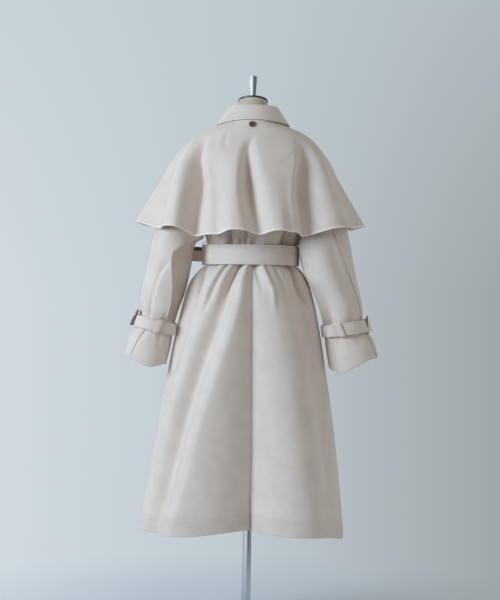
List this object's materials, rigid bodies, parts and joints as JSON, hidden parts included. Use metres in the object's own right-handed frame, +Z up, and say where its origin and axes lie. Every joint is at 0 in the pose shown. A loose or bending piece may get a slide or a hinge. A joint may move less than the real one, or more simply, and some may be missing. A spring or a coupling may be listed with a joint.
{
  "type": "balmacaan coat on dress form",
  "caption": "Cream belted balmacaan coat with a shoulder cape, turned-down collar and strapped raglan sleeves, closed on a limbless dress form with a pole and round base.",
  "frame": {"origin": "on the floor under the middle of the pole", "axes": "+Z up, the coat's back faces +Y and its front faces -Y, the wearer's left is +X"},
  "size_m": [0.6921, 0.4099, 1.523],
  "materials": {
    "coat_cloth": "smooth matt twill",
    "buckle_cover": "covered, satin",
    "button_horn": "satin horn brown",
    "form_cover": "tight plain cover",
    "neck_cap_metal": "satin dark grey",
    "finial_metal": "satin",
    "pole_chrome": "polished",
    "base_metal": "satin"
  },
  "bodies": {
    "root": {"back_left": "coat_cloth", "back_right": "coat_cloth", "vent_underlap": "coat_cloth", "front_left": "coat_cloth", "front_right": "coat_cloth", "sleeve_left_back": "coat_cloth", "sleeve_left_front": "coat_cloth", "sleeve_right_back": "coat_cloth", "sleeve_right_front": "coat_cloth", "cape_back": "coat_cloth", "cape_front_left": "coat_cloth", "cape_front_right": "coat_cloth", "collar": "coat_cloth", "belt": "coat_cloth", "belt_loop_left": "coat_cloth", "belt_loop_right": "coat_cloth", "cuff_strap_left": "coat_cloth", "cuff_strap_right": "coat_cloth", "cuff_keeper_left": "coat_cloth", "cuff_keeper_right": "coat_cloth", "belt_buckle": "buckle_cover", "cuff_buckle_left": "buckle_cover", "cuff_buckle_right": "buckle_cover", "button_back": "button_horn", "form_torso": "form_cover", "form_neck_cap": "neck_cap_metal", "form_finial": "finial_metal", "stand_pole": "pole_chrome", "stand_base": "base_metal"}
  },
  "joints": []
}
